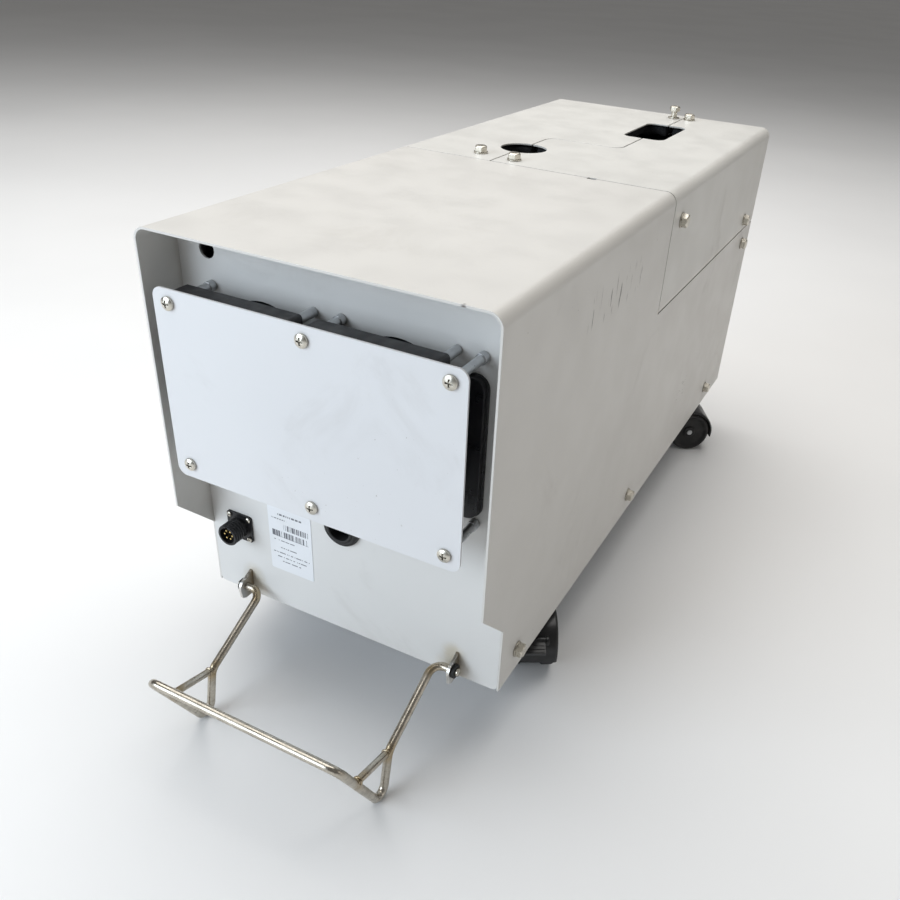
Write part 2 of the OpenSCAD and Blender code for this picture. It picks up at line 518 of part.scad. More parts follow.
// pair of wheels: dished outside, rounded tread
module wheels() for (s = [0, 1]) mirror([s, 0, 0]) translate([0, trail, wz]) rotate([0, 90, 0]) rotate_extrude()
  polygon([[3.97, 10.6], [wheel_r - 2, 10.6], [wheel_r - 0.5, 11.4], [wheel_r, 13], [wheel_r, 22], [wheel_r - 0.6, 24],
    [wheel_r - 2.5, 25], [wheel_r - 5, 24.6], [wheel_r - 8, 21.5], [9, 21.5], [8, 24.5], [3.97, 24.5]]);
module caster_wheels_fl() color([0.08, 0.08, 0.08]) seat() at_caster(0) wheels();
module caster_wheels_fr() color([0.08, 0.08, 0.08]) seat() at_caster(1) wheels();
module caster_wheels_rl() color([0.08, 0.08, 0.08]) seat() at_caster(2) wheels();
module caster_wheels_rr() color([0.08, 0.08, 0.08]) seat() at_caster(3) wheels();
module pedal() difference() {
  union() {
    cx(-10.8, ped[0], ped[1], 5, 21.6);
    translate([-10.8, ped[0], ped[1]]) rotate([-18, 0, 0]) translate([0.4, 0, -1]) cube([20.8, 17, 4]);
    for (i = [0:2]) translate([-10.8, ped[0], ped[1]]) rotate([-18, 0, 0]) translate([1.2, 6.4 + 4*i, 2.5]) cube([19.2, 1.6, 1.3]);
  }
  cx(-20, ped[0], ped[1], 2.56, 40);
}
module brake_pedal_fl() color([0.07, 0.07, 0.08]) seat() at_caster(0) pedal();
module brake_pedal_fr() color([0.07, 0.07, 0.08]) seat() at_caster(1) pedal();

base_tray();
front_wall();
rear_wall();
hood();
seam_arch();
lap_strips();
cover_left();
cover_right();
cover_bolts();
hood_bolts();
bolt_washers();
foam_hood();
foam_cover_left();
foam_cover_right();
foam_rear();
isolator_pads();
isolator_caps();
baffle_plate();
baffle_screws();
standoffs();
standoff_nuts();
fan_spacers();
fan_frame_left();
fan_frame_right();
fan_rotor_left();
fan_rotor_right();
fan_guard_left();
fan_guard_right();
fan_screws();
wiring_cover();
connector_shell();
connector_insert();
connector_pins();
connector_screws();
grommet();
label();
ear_left();
ear_right();
bail();
rod_retainers();
caster_plates();
caster_stems();
caster_bolts();
caster_fork_fl();
caster_fork_fr();
caster_fork_rl();
caster_fork_rr();
caster_axle_fl();
caster_axle_fr();
caster_axle_rl();
caster_axle_rr();
caster_wheels_fl();
caster_wheels_fr();
caster_wheels_rl();
caster_wheels_rr();
brake_pedal_fl();
brake_pedal_fr();
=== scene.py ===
import json
import math

import bmesh
import bpy
from mathutils import Matrix, Vector, noise


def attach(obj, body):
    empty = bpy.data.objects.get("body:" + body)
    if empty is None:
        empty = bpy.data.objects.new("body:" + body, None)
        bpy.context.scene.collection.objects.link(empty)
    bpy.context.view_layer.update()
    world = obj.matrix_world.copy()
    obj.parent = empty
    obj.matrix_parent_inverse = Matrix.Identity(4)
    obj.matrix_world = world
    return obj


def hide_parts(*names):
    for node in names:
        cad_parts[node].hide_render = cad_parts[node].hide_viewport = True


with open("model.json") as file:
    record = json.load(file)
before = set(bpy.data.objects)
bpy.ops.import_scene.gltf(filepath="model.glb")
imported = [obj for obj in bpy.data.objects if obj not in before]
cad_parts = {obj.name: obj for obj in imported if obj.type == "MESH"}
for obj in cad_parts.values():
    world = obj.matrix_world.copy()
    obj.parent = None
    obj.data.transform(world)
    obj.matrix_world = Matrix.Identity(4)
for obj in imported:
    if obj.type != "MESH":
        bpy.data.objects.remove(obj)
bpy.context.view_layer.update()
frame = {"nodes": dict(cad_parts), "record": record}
NODES = frame["nodes"]
BODY_OF = {n: body for body, names in frame["record"]["behaviour"]["bodies"].items() for n in names}

# ---------------------------------------------------------------- sizes, in millimetres
MID_Y = 363.5         # from the visor edge to the middle of the overall length
FLOOR_GAP = 75        # height of the box's underside
HOOD_H = 385
HALF_W = 165
WALL_Y = 44           # front face of the front wall
PIVOT_Z = 89.5
BAIL_X = 101.5
CASTERS = {"fl": (-130, 195, 150), "fr": (130, 195, -150), "rl": (-130, 738, 60), "rr": (130, 738, -60)}
TRAIL = 22
WHEEL_R = 30
FAN_X = {"left": -76.5, "right": 55.5}
FAN_Z = FLOOR_GAP + 277.5
FAN_FRONT = -6        # front face of the fan frames


def at(x, y, z):
    """A point in metres, from millimetres counted from the middle of the visor edge and the floor."""
    return Vector((x, y - MID_Y, z)) / 1000


# ---------------------------------------------------------------- finishes
class Finish:
    """A material whose colour, roughness and relief are drawn from object coordinates."""

    def __init__(self, name, roughness=0.5, metallic=0.0, specular=0.5, coat=0.0, coat_roughness=0.2):
        self.material = bpy.data.materials.new(name)
        self.material.use_nodes = True
        self.tree = self.material.node_tree
        self.shader = self.tree.nodes["Principled BSDF"]
        self.shader.inputs["Roughness"].default_value = roughness
        self.shader.inputs["Metallic"].default_value = metallic
        self.shader.inputs["Specular IOR Level"].default_value = specular
        self.shader.inputs["Coat Weight"].default_value = coat
        self.shader.inputs["Coat Roughness"].default_value = coat_roughness
        self.coords = self.tree.nodes.new("ShaderNodeTexCoord").outputs["Object"]
        self.normal = None

    def _set(self, socket, value):
        if isinstance(value, bpy.types.NodeSocket):
            self.tree.links.new(value, socket)
        elif isinstance(value, (tuple, list)) and len(value) == 3 and socket.type == "RGBA":
            socket.default_value = (*value, 1)
        else:
            socket.default_value = value

    def stretched(self, scale, move=(0, 0, 0), turn=(0, 0, 0)):
        node = self.tree.nodes.new("ShaderNodeMapping")
        self._set(node.inputs["Vector"], self.coords)
        node.inputs["Scale"].default_value = scale
        node.inputs["Location"].default_value = move
        node.inputs["Rotation"].default_value = turn
        return node.outputs[0]

    def noise(self, scale, detail=3, rough=0.5, vector=None, warp=0.0):
        node = self.tree.nodes.new("ShaderNodeTexNoise")
        self._set(node.inputs["Vector"], vector or self.coords)
        node.inputs["Scale"].default_value = scale
        node.inputs["Detail"].default_value = detail
        node.inputs["Roughness"].default_value = rough
        node.inputs["Distortion"].default_value = warp
        return node.outputs["Fac"]

    def cells(self, scale, feature="F1", vector=None, output="Distance"):
        node = self.tree.nodes.new("ShaderNodeTexVoronoi")
        node.feature = feature
        self._set(node.inputs["Vector"], vector or self.coords)
        node.inputs["Scale"].default_value = scale
        return node.outputs[output]

    def spread(self, value, low, high, out_low=0.0, out_high=1.0, soft=True):
        node = self.tree.nodes.new("ShaderNodeMapRange")
        node.interpolation_type = "SMOOTHSTEP" if soft else "LINEAR"
        self._set(node.inputs["Value"], value)
        node.inputs["From Min"].default_value = low
        node.inputs["From Max"].default_value = high
        node.inputs["To Min"].default_value = out_low
        node.inputs["To Max"].default_value = out_high
        return node.outputs["Result"]

    def sum(self, operation, a, b=0.0):
        node = self.tree.nodes.new("ShaderNodeMath")
        node.operation = operation
        node.use_clamp = False
        self._set(node.inputs[0], a)
        self._set(node.inputs[1], b)
        return node.outputs[0]

    def times(self, *values):
        out = values[0]
        for value in values[1:]:
            out = self.sum("MULTIPLY", out, value)
        return out

    def blend(self, share, a, b):
        node = self.tree.nodes.new("ShaderNodeMix")
        node.data_type = "RGBA"
        self._set(node.inputs[0], share)
        self._set(node.inputs[6], a)
        self._set(node.inputs[7], b)
        return node.outputs[2]

    def axis(self, index):
        node = self.tree.nodes.new("ShaderNodeSeparateXYZ")
        self._set(node.inputs[0], self.coords)
        return node.outputs[index]

    def band(self, index, low, high, soft):
        """1 between low and high along an axis, in metres, fading over soft."""
        value = self.axis(index)
        return self.times(self.spread(value, low - soft, low + soft), self.spread(value, high - soft, high + soft, 1, 0))

    def spot(self, centre, core, reach):
        """1 within core of a point and 0 beyond reach, in metres."""
        node = self.tree.nodes.new("ShaderNodeVectorMath")
        node.operation = "DISTANCE"
        self._set(node.inputs[0], self.coords)
        node.inputs[1].default_value = centre
        return self.spread(node.outputs["Value"], core, reach, 1, 0)

    def edges(self, radius):
        """1 on outer edges: where a rounded normal leaves the face's own."""
        bevel = self.tree.nodes.new("ShaderNodeBevel")
        bevel.samples = 4
        bevel.inputs["Radius"].default_value = radius
        geometry = self.tree.nodes.new("ShaderNodeNewGeometry")
        dot = self.tree.nodes.new("ShaderNodeVectorMath")
        dot.operation = "DOT_PRODUCT"
        self._set(dot.inputs[0], bevel.outputs[0])
        self._set(dot.inputs[1], geometry.outputs["Normal"])
        return self.spread(dot.outputs["Value"], 0.985, 0.8, 0, 1)

    def corners(self, distance):
        """1 in corners and under things, found by ambient occlusion: the mask for painted shade."""
        node = self.tree.nodes.new("ShaderNodeAmbientOcclusion")
        node.samples = 6
        node.inputs["Distance"].default_value = distance
        return self.spread(node.outputs["AO"], 0.25, 0.85, 1, 0)

    def colour(self, value):
        self._set(self.shader.inputs["Base Color"], value)

    def roughness(self, value):
        self._set(self.shader.inputs["Roughness"], value)

    def relief(self, height, strength, depth):
        node = self.tree.nodes.new("ShaderNodeBump")
        node.inputs["Strength"].default_value = strength
        node.inputs["Distance"].default_value = depth
        self._set(node.inputs["Height"], height)
        if self.normal:
            self._set(node.inputs["Normal"], self.normal)
        self.normal = node.outputs[0]
        self._set(self.shader.inputs["Normal"], self.normal)


# one tone for smudges and specks of grime, and for the painted shade in corners
GRIME_AND_SHADE = (0.23, 0.20, 0.16)
HEAT_TINT = (0.34, 0.25, 0.13)


def powder_coat(name, light, shade, gloss=0.42, scuffed=False, painted_shade_spots=()):
    """Baked powder coat on sheet: fine orange peel, a slow drift of tone, smudges and specks of grime, painted shade in
    corners, and painted shade and reflection at any spots given.
    """
    f = Finish(name, specular=0.45, coat=0.06, coat_roughness=0.3)
    drift = f.spread(f.noise(2.6, 2), 0.35, 0.68)
    tone = f.blend(drift, light, shade)
    smudge = f.times(f.spread(f.noise(9, 5, 0.62, warp=0.6), 0.56, 0.78), 0.16)
    tone = f.blend(smudge, tone, GRIME_AND_SHADE)
    specks = f.times(f.spread(f.noise(260, 2, 0.5), 0.73, 0.78), f.spread(f.noise(6, 2), 0.5, 0.62), 0.5)
    tone = f.blend(specks, tone, GRIME_AND_SHADE)
    # painted shade: occlusion darkens corners and undersides toward the grime tone
    tone = f.blend(f.times(f.corners(0.012), 0.34), tone, GRIME_AND_SHADE)
    if scuffed:
        # short upright rubs on the right side, and one long faint scratch lower down
        zone = f.times(f.spread(f.axis(0), 0.160, 0.164), f.band(1, -0.192, -0.050, 0.006), f.band(2, 0.388, 0.418, 0.006))
        rubs = f.spread(f.noise(1, 2, 0.55, vector=f.stretched((1, 260, 26), (0, 3.1, 0))), 0.605, 0.66)
        tone = f.blend(f.times(zone, rubs, 0.75), tone, (0.10, 0.09, 0.08))
        line = f.times(f.spread(f.axis(0), 0.160, 0.164), f.band(1, 0.205, 0.245, 0.01), f.band(2, 0.150, 0.178, 0.008))
        hair = f.spread(f.noise(1, 1, 0.5, vector=f.stretched((1, 90, 700), turn=(0.62, 0, 0))), 0.64, 0.67)
        tone = f.blend(f.times(line, hair, 0.6), tone, (0.16, 0.14, 0.12))
        nick = f.times(f.spot(at(134, 1, 458), 0.001, 0.0032), f.spread(f.noise(420, 2), 0.4, 0.5))
        tone = f.blend(nick, tone, (0.12, 0.10, 0.09))
    # painted shade and reflection: beige spots on the front wall beside each ear
    for centre, reach in painted_shade_spots:
        shade_spot = f.times(f.spot(centre, reach * 0.15, reach), f.spread(f.noise(70, 4, 0.6), 0.3, 0.7, 0.35, 1), 0.62)
        tone = f.blend(shade_spot, tone, (0.50, 0.42, 0.28))
    chips = f.times(f.edges(0.0011), f.spread(f.noise(55, 4, 0.65), 0.60, 0.68))
    tone = f.blend(f.times(chips, 0.55), tone, (0.42, 0.40, 0.37))
    f.colour(tone)
    f.roughness(f.sum("ADD", f.spread(f.noise(24, 4), 0.3, 0.7, gloss - 0.05, gloss + 0.09), f.times(smudge, 0.5)))
    f.relief(f.noise(420, 2, 0.45), 0.16, 0.00035)
    f.relief(f.noise(1500, 1, 0.4), 0.10, 0.00012)
    return f.material


def bare_steel(name, tone, dark, grain, gloss=0.3, tints=(), coarse=0.2, tarnish=0.25):
    """Bare or plated steel: fine drawn grain, dull blotches, painted shade in corners and heat tint round welds."""
    f = Finish(name, metallic=1.0)
    colour = f.blend(f.times(f.spread(f.noise(60, 4, 0.6, warp=0.4), 0.42, 0.72), tarnish), tone, dark)
    drawn = f.noise(1, 3, 0.6, vector=f.stretched(grain))
    colour = f.blend(f.times(f.spread(drawn, 0.35, 0.7), coarse), colour, dark)
    for centre, reach in tints:
        colour = f.blend(f.times(f.spot(centre, reach * 0.2, reach), f.spread(f.noise(90, 3), 0.3, 0.6, 0.45, 1), 0.8), colour, HEAT_TINT)
    # painted shade: occlusion darkens corners
    colour = f.blend(f.times(f.corners(0.004), 0.55), colour, (0.10, 0.085, 0.07))
    f.colour(colour)
    f.roughness(f.spread(f.sum("ADD", f.noise(45, 4, 0.6), f.times(drawn, 0.5)), 0.5, 1.05, gloss - 0.08, gloss + 0.16))
    f.relief(drawn, 0.10, 0.0001)
    return f.material


def zinc_sheet(name):
    """Galvanised sheet with a soft spangle, white bloom and painted shade in its corners."""
    f = Finish(name, metallic=0.9)
    crystal = f.cells(70, vector=f.stretched((1, 1, 1)), output="Color")
    grey = f.tree.nodes.new("ShaderNodeRGBToBW")
    f._set(grey.inputs[0], crystal)
    tone = f.blend(f.spread(grey.outputs[0], 0.2, 0.8), (0.42, 0.43, 0.45), (0.60, 0.61, 0.62))
    bloom = f.spread(f.noise(14, 4, 0.6), 0.55, 0.75)
    tone = f.blend(f.times(bloom, 0.4), tone, (0.66, 0.66, 0.65))
    # painted shade: occlusion darkens corners
    tone = f.blend(f.times(f.corners(0.02), 0.5), tone, (0.18, 0.17, 0.16))
    f.colour(tone)
    f.roughness(f.spread(grey.outputs[0], 0, 1, 0.32, 0.52))
    f.relief(f.noise(300, 2), 0.1, 0.0002)
    return f.material


def moulded(name, tone, dust_and_shade_tone, gloss=0.45, grain=900, dust_and_shade=0.35, coat=0.0, metallic=0.0):
    """Moulded plastic or rubber: fine grained skin, a patchy dusting, painted shade in corners, edges rubbed a little
    brighter.
    """
    f = Finish(name, metallic=metallic, specular=0.45, coat=coat)
    colour = f.blend(f.times(f.spread(f.noise(35, 4, 0.6), 0.5, 0.75), dust_and_shade * 0.5), tone, dust_and_shade_tone)
    # painted shade: occlusion darkens corners toward the tone of the dusting
    colour = f.blend(f.times(f.corners(0.006), dust_and_shade), colour, dust_and_shade_tone)
    rub = f.times(f.edges(0.0008), f.spread(f.noise(160, 3), 0.4, 0.65), 0.5)
    colour = f.blend(rub, colour, tuple(min(1, c * 2.4 + 0.02) for c in tone))
    f.colour(colour)
    f.roughness(f.spread(f.noise(80, 3), 0.3, 0.7, gloss - 0.07, gloss + 0.1))
    f.relief(f.noise(grain, 2, 0.5), 0.22, 0.0002)
    return f.material


def foam_finish(name):
    """Open cell foam: pitted relief, painted shade in the middle of each pit, a light dusting."""
    f = Finish(name, roughness=0.95, specular=0.12)
    pits = f.cells(620)
    # painted shade: each pit is darker toward its middle, where its relief is deepest
    colour = f.blend(f.spread(pits, 0.05, 0.5), (0.008, 0.008, 0.009), (0.042, 0.042, 0.045))
    colour = f.blend(f.times(f.spread(f.noise(22, 4), 0.5, 0.75), 0.25), colour, (0.11, 0.105, 0.10))
    f.colour(colour)
    f.relief(pits, 0.8, 0.0009)
    return f.material


def label_finish(name):
    """Satin film with plain bars and dashes where a rating label carries its data."""
    f = Finish(name, roughness=0.34, specular=0.4)
    left, right = at(-88, 0, 0).x, at(-45, 0, 0).x
    ink = None
    x = f.axis(0)

    def row(top, height, pitch, cut, x0=left, x1=right):
        """One row of upright bars: which of them are inked follows a noise along x."""
        steps = f.times(f.sum("FLOOR", f.sum("DIVIDE", x, pitch)), pitch)
        place = f.tree.nodes.new("ShaderNodeCombineXYZ")
        f._set(place.inputs[0], f.times(steps, 977.0))
        place.inputs[1].default_value = top * 31.0
        bars = f.spread(f.noise(3.7, 0, vector=place.outputs[0]), cut, cut + 0.01)
        return f.times(bars, f.band(2, (top - height) / 1000, top / 1000, 0.00012), f.band(0, x0, x1, 0.00012))

    def rule(top, height, x0, x1):
        return f.times(f.band(2, (top - height) / 1000, top / 1000, 0.0001), f.band(0, at(x0, 0, 0).x, at(x1, 0, 0).x, 0.0001))

    marks = [
        row(177, 6.5, 0.00055, 0.5, at(-74, 0, 0).x, right), row(168, 7, 0.00055, 0.49),
        row(188.5, 2.0, 0.0011, 0.42, at(-80, 0, 0).x, at(-52, 0, 0).x),
        row(182.5, 1.1, 0.0009, 0.47, left, at(-70, 0, 0).x), row(157, 1.0, 0.0009, 0.47, left, at(-62, 0, 0).x),
        row(148.5, 1.1, 0.0010, 0.46, at(-80, 0, 0).x, at(-60, 0, 0).x), row(142, 1.1, 0.0009, 0.44),
        row(137, 1.1, 0.0009, 0.45, at(-84, 0, 0).x, at(-49, 0, 0).x), row(132, 1.1, 0.0010, 0.45, at(-78, 0, 0).x, at(-55, 0, 0).x),
        rule(161.5, 0.35, -88, -45),
    ]
    for mark in marks:
        ink = mark if ink is None else f.sum("MAXIMUM", ink, mark)
    film = f.blend(f.times(f.spread(f.noise(30, 3), 0.5, 0.75), 0.3), (0.80, 0.82, 0.85), (0.70, 0.70, 0.70))
    f.colour(f.blend(f.times(ink, 0.88), film, (0.05, 0.055, 0.075)))
    f.relief(f.noise(160, 2), 0.12, 0.0001)
    return f.material


# spots at the foot of each ear: painted shade and reflection on the wall beside it, and heat tint on the ear itself
EAR_SHADE_AND_TINT_SPOTS = [(at(s * 117, WALL_Y, z), r) for s in (-1, 1) for z, r in ((82, 0.024), (100, 0.017))]
BAIL_TINTS = [(at(s * BAIL_X, y, z), 0.016) for s in (-1, 1) for y, z in ((-45, 47), (-92, 60), (30, 89))]

FINISHES = {
    "hood_coat": powder_coat("hood_coat", (0.68, 0.665, 0.635), (0.63, 0.615, 0.585), scuffed=True),
    "cover_coat": powder_coat("cover_coat", (0.69, 0.68, 0.65), (0.64, 0.63, 0.60)),
    "wall_coat": powder_coat("wall_coat", (0.72, 0.72, 0.71), (0.67, 0.665, 0.65), gloss=0.38, painted_shade_spots=EAR_SHADE_AND_TINT_SPOTS),
    "plate_coat": powder_coat("plate_coat", (0.74, 0.745, 0.76), (0.70, 0.705, 0.72), gloss=0.34),
    "zinc_sheet": zinc_sheet("zinc_sheet"),
    "nickel": bare_steel("nickel", (0.66, 0.63, 0.56), (0.30, 0.27, 0.21), (240, 240, 60), gloss=0.27),
    "zinc": bare_steel("zinc", (0.52, 0.53, 0.54), (0.26, 0.26, 0.27), (200, 40, 200), gloss=0.34),
    "bright_wire": bare_steel("bright_wire", (0.70, 0.70, 0.70), (0.4, 0.4, 0.4), (300, 300, 300), gloss=0.18, coarse=0.08),
    "bail_steel": bare_steel("bail_steel", (0.56, 0.52, 0.45), (0.20, 0.17, 0.13), (700, 60, 700), gloss=0.27, tints=BAIL_TINTS, coarse=0.35, tarnish=0.4),
    "ear_steel": bare_steel("ear_steel", (0.70, 0.69, 0.66), (0.34, 0.30, 0.24), (400, 60, 60), gloss=0.3,
                            tints=[(c, r * 0.8) for c, r in EAR_SHADE_AND_TINT_SPOTS]),
    "fan_black": moulded("fan_black", (0.030, 0.030, 0.033), (0.14, 0.135, 0.13), gloss=0.5, grain=700, dust_and_shade=0.5),
    "rotor_black": moulded("rotor_black", (0.016, 0.016, 0.018), (0.10, 0.10, 0.095), gloss=0.4, dust_and_shade=0.5),
    "cover_black": moulded("cover_black", (0.010, 0.010, 0.012), (0.06, 0.06, 0.06), gloss=0.33, grain=500, dust_and_shade=0.25),
    "black_alloy": moulded("black_alloy", (0.018, 0.018, 0.020), (0.09, 0.09, 0.09), gloss=0.36, grain=1200, dust_and_shade=0.25, metallic=0.35),
    "gold": bare_steel("gold", (0.80, 0.60, 0.25), (0.5, 0.33, 0.12), (300, 300, 300), gloss=0.22, coarse=0.1),
    "rubber": moulded("rubber", (0.014, 0.014, 0.014), (0.075, 0.073, 0.07), gloss=0.58, grain=650, dust_and_shade=0.4),
    "nylon": moulded("nylon", (0.010, 0.010, 0.011), (0.085, 0.08, 0.075), gloss=0.36, grain=420, dust_and_shade=0.35, coat=0.15),
    "tread": moulded("tread", (0.020, 0.020, 0.020), (0.13, 0.12, 0.11), gloss=0.6, grain=500, dust_and_shade=0.6),
    "foam": foam_finish("foam"),
    "label_film": label_finish("label_film"),
}


# ---------------------------------------------------------------- making pieces
def set_piece(name, bm, finish, body, nodes=(), sharp=35, level=True):
    """Puts a finished mesh in the scene as one piece that rides on a body."""
    mesh = bpy.data.meshes.new(name)
    bm.to_mesh(mesh)
    bm.free()
    mesh.shade_smooth()
    mesh.set_sharp_from_angle(angle=math.radians(sharp))
    mesh.materials.append(FINISHES[finish])
    piece = bpy.data.objects.new(name, mesh)
    bpy.context.scene.collection.objects.link(piece)
    if level:
        even = piece.modifiers.new("level_faces", "WEIGHTED_NORMAL")
        even.keep_sharp = True
    if nodes:
        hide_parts(*nodes)
    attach(piece, body)
    return piece


def merged_copy(node):
    """A node's mesh as one joined skin with its flat faces whole."""
    bm = bmesh.new()
    bm.from_mesh(NODES[node].data)
    bmesh.ops.remove_doubles(bm, verts=bm.verts, dist=1e-6)
    bmesh.ops.dissolve_limit(bm, angle_limit=math.radians(0.5), use_dissolve_boundaries=False, verts=bm.verts, edges=bm.edges)
    return bm


def ease_edges(bm, width, segments=2, over=30):
    """Rounds every edge sharper than over degrees by width millimetres."""
    keen = [e for e in bm.edges if len(e.link_faces) == 2 and e.calc_face_angle(0) > math.radians(over)]
    bmesh.ops.bevel(bm, geom=keen, offset=width / 1000, affect="EDGES", segments=segments, profile=0.5, material=-1,
                    clamp_overlap=True)


def eased(node, finish, width, segments=2, over=30):
    """The node's own shape with its sharp edges eased, as sheet and bar have after tumbling and paint."""
    bm = merged_copy(node)
    if width:
        ease_edges(bm, width, segments, over)
    return set_piece(f"{node}_finished", bm, finish, BODY_OF[node], (node,))


def turned(bm, profile, steps, axis_dir, centre, angle=2 * math.pi, start=0.0, side=None):
    """Spins a profile of (radius, along) millimetres about an axis through centre, from the direction of side."""
    before = set(bm.faces)
    axis_dir = Vector(axis_dir).normalized()
    side = Vector(side) if side else axis_dir.orthogonal().normalized()
    side.rotate(Matrix.Rotation(start, 3, axis_dir))
    points = [bm.verts.new(centre + (side * r + axis_dir * a) / 1000) for r, a in profile]
    lines = [bm.edges.new(pair) for pair in zip(points, points[1:] + points[:1])]
    full = abs(angle - 2 * math.pi) < 1e-6
    bmesh.ops.spin(bm, geom=points + lines, cent=centre, axis=axis_dir, angle=angle, steps=steps, use_merge=full)
    if not full:
        open_edges = [e for e in bm.edges if len(e.link_faces) == 1]
        bmesh.ops.holes_fill(bm, edges=open_edges, sides=len(profile))
    fresh = [face for face in bm.faces if face not in before]
    bmesh.ops.recalc_face_normals(bm, faces=fresh)


def bent_rod(bm, corners, bends, radius, sides=20):
    """A round rod through corner points, each inner corner bent to its own radius, in millimetres."""
    before = set(bm.faces)
    ways = [(b - a).normalized() for a, b in zip(corners, corners[1:])]
    turn = Vector((0, 0, 1)).rotation_difference(ways[0]).to_matrix().to_4x4()
    ring = bmesh.ops.create_circle(bm, segments=sides, radius=radius / 1000, matrix=Matrix.Translation(corners[0]) @ turn)
    loop = list({e for v in ring["verts"] for e in v.link_edges})
    first = loop[:]
    here = corners[0]
    for i, way in enumerate(ways):
        last = i == len(ways) - 1
        angle = 0 if last else way.angle(ways[i + 1])
        back = 0 if last else bends[i] / 1000 * math.tan(angle / 2)
        stop = corners[i + 1] - way * back
        grown = bmesh.ops.extrude_edge_only(bm, edges=loop)["geom"]
        tips = [g for g in grown if isinstance(g, bmesh.types.BMVert)]
        bmesh.ops.translate(bm, verts=tips, vec=stop - here)
        loop = [g for g in grown if isinstance(g, bmesh.types.BMEdge) and g.verts[0] in tips and g.verts[1] in tips]
        here = stop
        if not last:
            axle = way.cross(ways[i + 1]).normalized()
            hub = here + axle.cross(way) * bends[i] / 1000
            spun = bmesh.ops.spin(bm, geom=loop + tips, cent=hub, axis=axle, angle=angle, steps=max(4, round(math.degrees(angle) / 9)))
            loop = [g for g in spun["geom_last"] if isinstance(g, bmesh.types.BMEdge)]
            here = corners[i + 1] + ways[i + 1] * back
    for rim in (first, loop):
        cap = bmesh.ops.contextual_create(bm, geom=rim)["faces"]
        bmesh.ops.bevel(bm, geom=list({e for c in cap for e in c.edges}), offset=radius * 0.28 / 1000, affect="EDGES", segments=3,
                        profile=0.5, material=-1, clamp_overlap=True)
    fresh = [face for face in bm.faces if face not in before]
    bmesh.ops.recalc_face_normals(bm, faces=fresh)


def bead(bm, centre, axis_dir, ring_r, bead_r, ripple=0.18, seed=0):
    """A rippled ring of weld."""
    before = set(bm.verts)
    profile = [(ring_r + bead_r * math.cos(math.radians(a)), bead_r * math.sin(math.radians(a))) for a in range(0, 360, 45)]
    turned(bm, profile, 28, axis_dir, centre)
    for v in bm.verts:
        if v not in before:
            push = noise.noise((v.co + Vector((seed, 0, 0))) * 900) * ripple * bead_r / 1000
            v.co += (v.co - centre).normalized() * push


def round_box(bm, low, high, radius, segments=3, only=None):
    """A block between two corners, in millimetres, with its edges rounded."""
    made = bmesh.ops.create_cube(bm, size=1)["verts"]
    size = Vector(high) - Vector(low)
    bmesh.ops.scale(bm, vec=size / 1000, verts=made)
    bmesh.ops.translate(bm, vec=at(*((Vector(low) + Vector(high)) / 2)), verts=made)
    edges = list({e for v in made for e in v.link_edges})
    if only is not None:
        edges = [e for e in edges if abs((e.verts[0].co - e.verts[1].co).normalized()[only]) > 0.9]
    if radius:
        bmesh.ops.bevel(bm, geom=edges, offset=radius / 1000, affect="EDGES", segments=segments, profile=0.5, material=-1)


# ---------------------------------------------------------------- sheet metal
for node, finish, width in (
    ("hood", "hood_coat", 0.45), ("cover_left", "cover_coat", 0.45), ("cover_right", "cover_coat", 0.45),
    ("front_wall", "wall_coat", 0.4), ("rear_wall", "wall_coat", 0.4), ("baffle_plate", "plate_coat", 0.5),
    ("base_tray", "zinc_sheet", 0.3), ("seam_arch", "zinc_sheet", 0.3), ("lap_strips", "zinc_sheet", 0.3),
    ("ear_left", "ear_steel", 0.35), ("ear_right", "ear_steel", 0.35),
):
    eased(node, finish, width)

# ---------------------------------------------------------------- fasteners and turned pieces
for node, finish, width in (
    ("cover_bolts", "nickel", 0.35), ("hood_bolts", "nickel", 0.35), ("bolt_washers", "nickel", 0.25),
    ("baffle_screws", "nickel", 0.2), ("standoffs", "zinc", 0.3), ("standoff_nuts", "zinc", 0.3),
    ("fan_screws", "zinc", 0.15), ("fan_spacers", "zinc", 0.25), ("caster_stems", "zinc", 0.3), ("isolator_caps", "zinc", 0.3), ("isolator_pads", "rubber", 0.8),
    ("connector_shell", "black_alloy", 0.25), ("connector_insert", "cover_black", 0.2), ("connector_pins", "gold", 0.15),
    ("connector_screws", "nickel", 0.12), ("caster_plates", "zinc", 0.3), ("caster_bolts", "zinc", 0.3),
    ("fan_guard_left", "bright_wire", 0), ("fan_guard_right", "bright_wire", 0),
    ("fan_frame_left", "fan_black", 0.45), ("fan_frame_right", "fan_black", 0.45),
    ("rod_retainers", "rubber", 0.4), ("label", "label_film", 0.08),
):
    eased(node, finish, width)

# ---------------------------------------------------------------- wiring cover and grommet
eased("wiring_cover", "cover_black", 1.3, segments=4)


def make_grommet():
    """A moulded rubber ring with two ribs round its lip, pressed into its hole."""
    outline = [(11, -5.4), (11.6, -6.2), (12.6, -6.5), (13.6, -6.1), (14.3, -5.2), (14.9, -4.9), (15.5, -5.3), (16.2, -5.3),
               (16.8, -4.6), (17.4, -4.2), (18.1, -4.1), (18.8, -3.3), (19.2, -2.0), (19.3, -0.1), (13.7, -0.1), (13.7, 2.0),
               (17.5, 2.0), (17.4, 3.9), (16.6, 4.9), (12.2, 6), (11.2, 5.5)]
    bm = bmesh.new()
    turned(bm, outline, 72, (0, 1, 0), at(-4.7, WALL_Y, FLOOR_GAP + 124.5))
    set_piece("grommet_ring", bm, "rubber", "housing", ("grommet",), sharp=50)


make_grommet()


